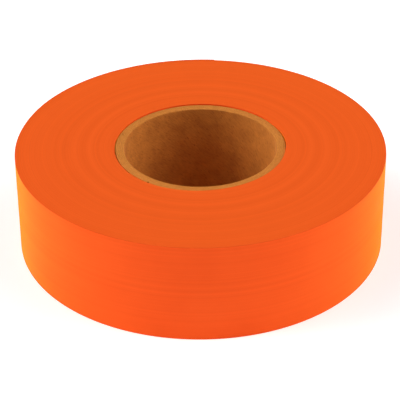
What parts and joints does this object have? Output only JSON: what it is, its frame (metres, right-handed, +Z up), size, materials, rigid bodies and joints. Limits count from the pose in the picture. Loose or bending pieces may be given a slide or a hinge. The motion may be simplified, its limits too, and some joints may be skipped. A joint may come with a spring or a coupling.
{
  "type": "flagging tape roll",
  "caption": "Roll of fluorescent orange vinyl surveyor's flagging tape, wound on a spiral paper core that slips over a finger or spindle, with a free end that peels open.",
  "frame": {"origin": "on the roll's axis, in the plane that the roll lies on", "axes": "+Z up the roll's axis; the free end of the tape is on the +Y side, and lies clockwise seen from +Z"},
  "size_m": [0.1079, 0.1081, 0.0302],
  "materials": {
    "film": "satin",
    "core_liner": "matte",
    "core_board": "matte",
    "tack_strip": "matte"
  },
  "bodies": {
    "roll": {"core_liner_ply": "core_liner", "core_body_ply_1": "core_board", "core_body_ply_2": "core_board", "core_body_ply_3": "core_board", "core_outer_ply": "core_board", "core_tack_strip": "tack_strip", "tape_wound_pack": "film"},
    "tail_1": {"tape_tail_1": "film"},
    "tail_2": {"tape_tail_2": "film"},
    "tail_3": {"tape_tail_3": "film"},
    "tail_4": {"tape_tail_4": "film"},
    "tail_5": {"tape_tail_5": "film"},
    "tail_6": {"tape_tail_6": "film"}
  },
  "joints": [
    {"name": "tail_peel_1", "type": "hinge", "parent": "roll", "child": "tail_1", "pos_m": [-0.05064, 0.01875, 0.01508], "axis": [0, 0, 1], "range_deg": [0, 45], "stiffness_Nm_per_rad": 0.00003},
    {"name": "tail_peel_2", "type": "hinge", "parent": "tail_1", "child": "tail_2", "pos_m": [-0.04538, 0.02926, 0.01508], "axis": [0, 0, 1], "range_deg": [0, 15], "stiffness_Nm_per_rad": 0.00003},
    {"name": "tail_peel_3", "type": "hinge", "parent": "tail_2", "child": "tail_3", "pos_m": [-0.03797, 0.03839, 0.01508], "axis": [0, 0, 1], "range_deg": [0, 15], "stiffness_Nm_per_rad": 0.00003},
    {"name": "tail_peel_4", "type": "hinge", "parent": "tail_3", "child": "tail_4", "pos_m": [-0.02876, 0.0457, 0.01508], "axis": [0, 0, 1], "range_deg": [0, 15], "stiffness_Nm_per_rad": 0.00003},
    {"name": "tail_peel_5", "type": "hinge", "parent": "tail_4", "child": "tail_5", "pos_m": [-0.01818, 0.05084, 0.01508], "axis": [0, 0, 1], "range_deg": [0, 15], "stiffness_Nm_per_rad": 0.00003},
    {"name": "tail_peel_6", "type": "hinge", "parent": "tail_5", "child": "tail_6", "pos_m": [-0.00675, 0.05357, 0.01508], "axis": [0, 0, 1], "range_deg": [0, 15], "stiffness_Nm_per_rad": 0.00003}
  ]
}
